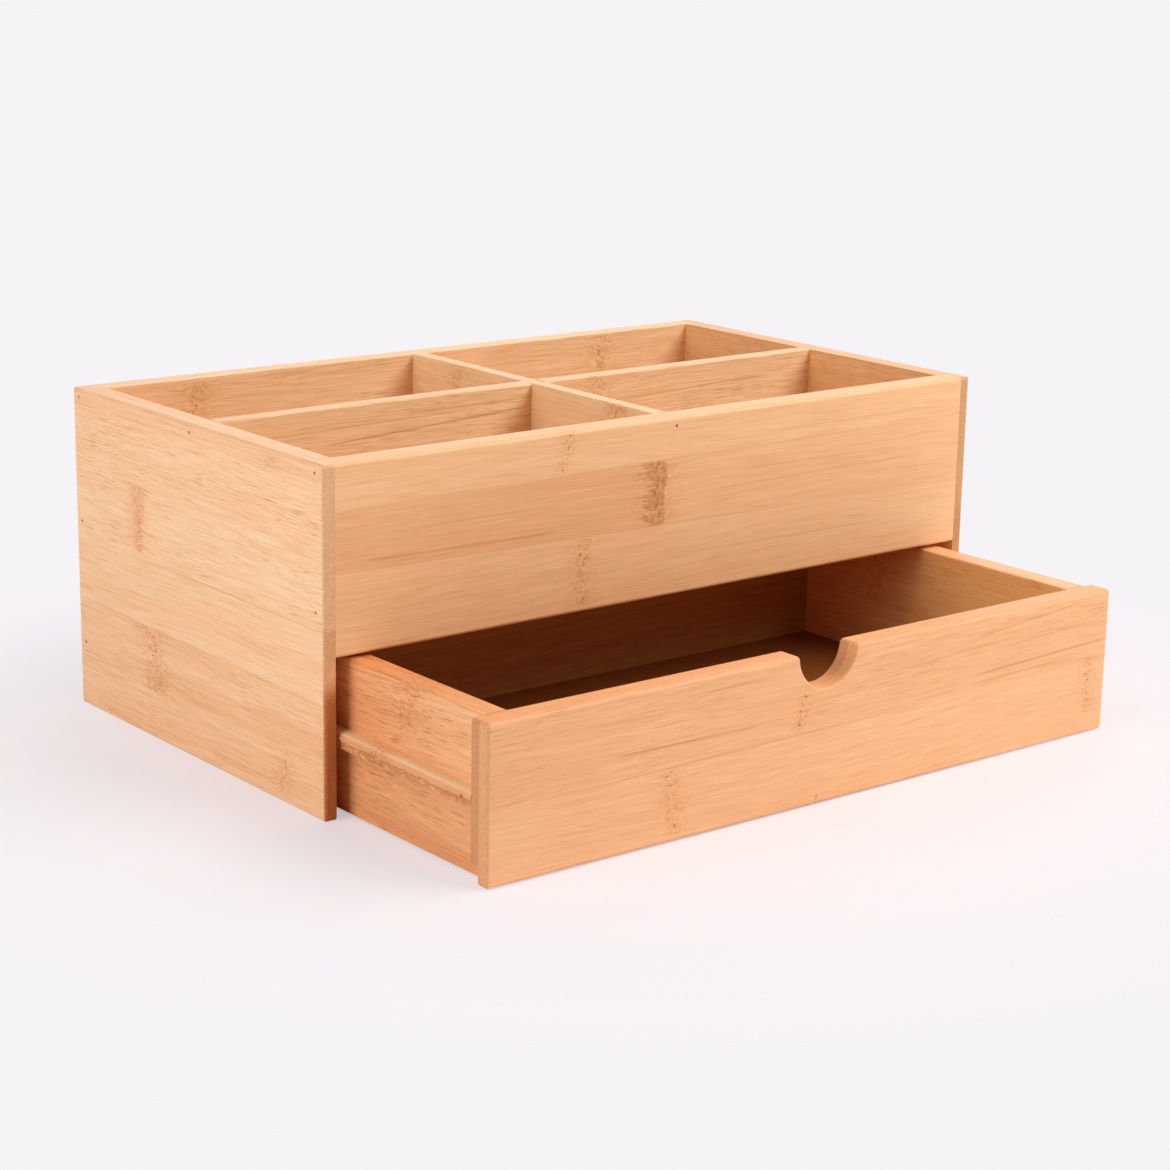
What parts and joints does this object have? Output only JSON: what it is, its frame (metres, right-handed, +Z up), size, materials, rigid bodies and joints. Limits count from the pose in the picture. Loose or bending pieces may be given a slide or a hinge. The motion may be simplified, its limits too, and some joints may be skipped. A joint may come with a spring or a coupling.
{
  "type": "storage box with drawer",
  "caption": "Low open-top box of laminated bamboo, split by crossing dividers, above a full-width sliding drawer with a half-round finger notch.",
  "frame": {"origin": "middle of the footprint on the table, drawer standing open", "axes": "+X to the right as seen from the front, +Y to the back, +Z up; the front faces -Y"},
  "size_m": [0.32, 0.268, 0.13],
  "materials": {
    "case_bamboo": "satin clear lacquer over natural bamboo",
    "floor_bamboo": "satin clear lacquer over natural bamboo",
    "divider_bamboo": "satin clear lacquer over natural bamboo",
    "drawer_front_bamboo": "satin clear lacquer over natural bamboo",
    "drawer_bamboo": "satin clear lacquer over natural bamboo",
    "runner_bamboo": "bare sawn bamboo",
    "pin_steel": "dull drawn wire",
    "dowel_wood": "bare, fluted"
  },
  "bodies": {
    "case": {"left_side_panel": "case_bamboo", "right_side_panel": "case_bamboo", "upper_front_panel": "case_bamboo", "back_panel": "case_bamboo", "compartment_floor": "floor_bamboo", "lengthwise_divider": "divider_bamboo", "crosswise_divider": "divider_bamboo", "front_corner_pins": "pin_steel", "rear_corner_pins": "pin_steel", "divider_pins": "pin_steel"},
    "drawer": {"drawer_front": "drawer_front_bamboo", "drawer_left_side": "drawer_bamboo", "drawer_right_side": "drawer_bamboo", "drawer_back": "drawer_bamboo", "drawer_bottom": "drawer_bamboo", "left_runner": "runner_bamboo", "right_runner": "runner_bamboo", "drawer_front_dowels": "dowel_wood", "drawer_back_pins": "pin_steel", "drawer_bottom_pins": "pin_steel", "runner_pins": "pin_steel"}
  },
  "joints": [
    {"name": "drawer_slide", "type": "slide", "parent": "case", "child": "drawer", "axis": [0, -1, 0], "range_m": [-0.088, 0.03]}
  ]
}
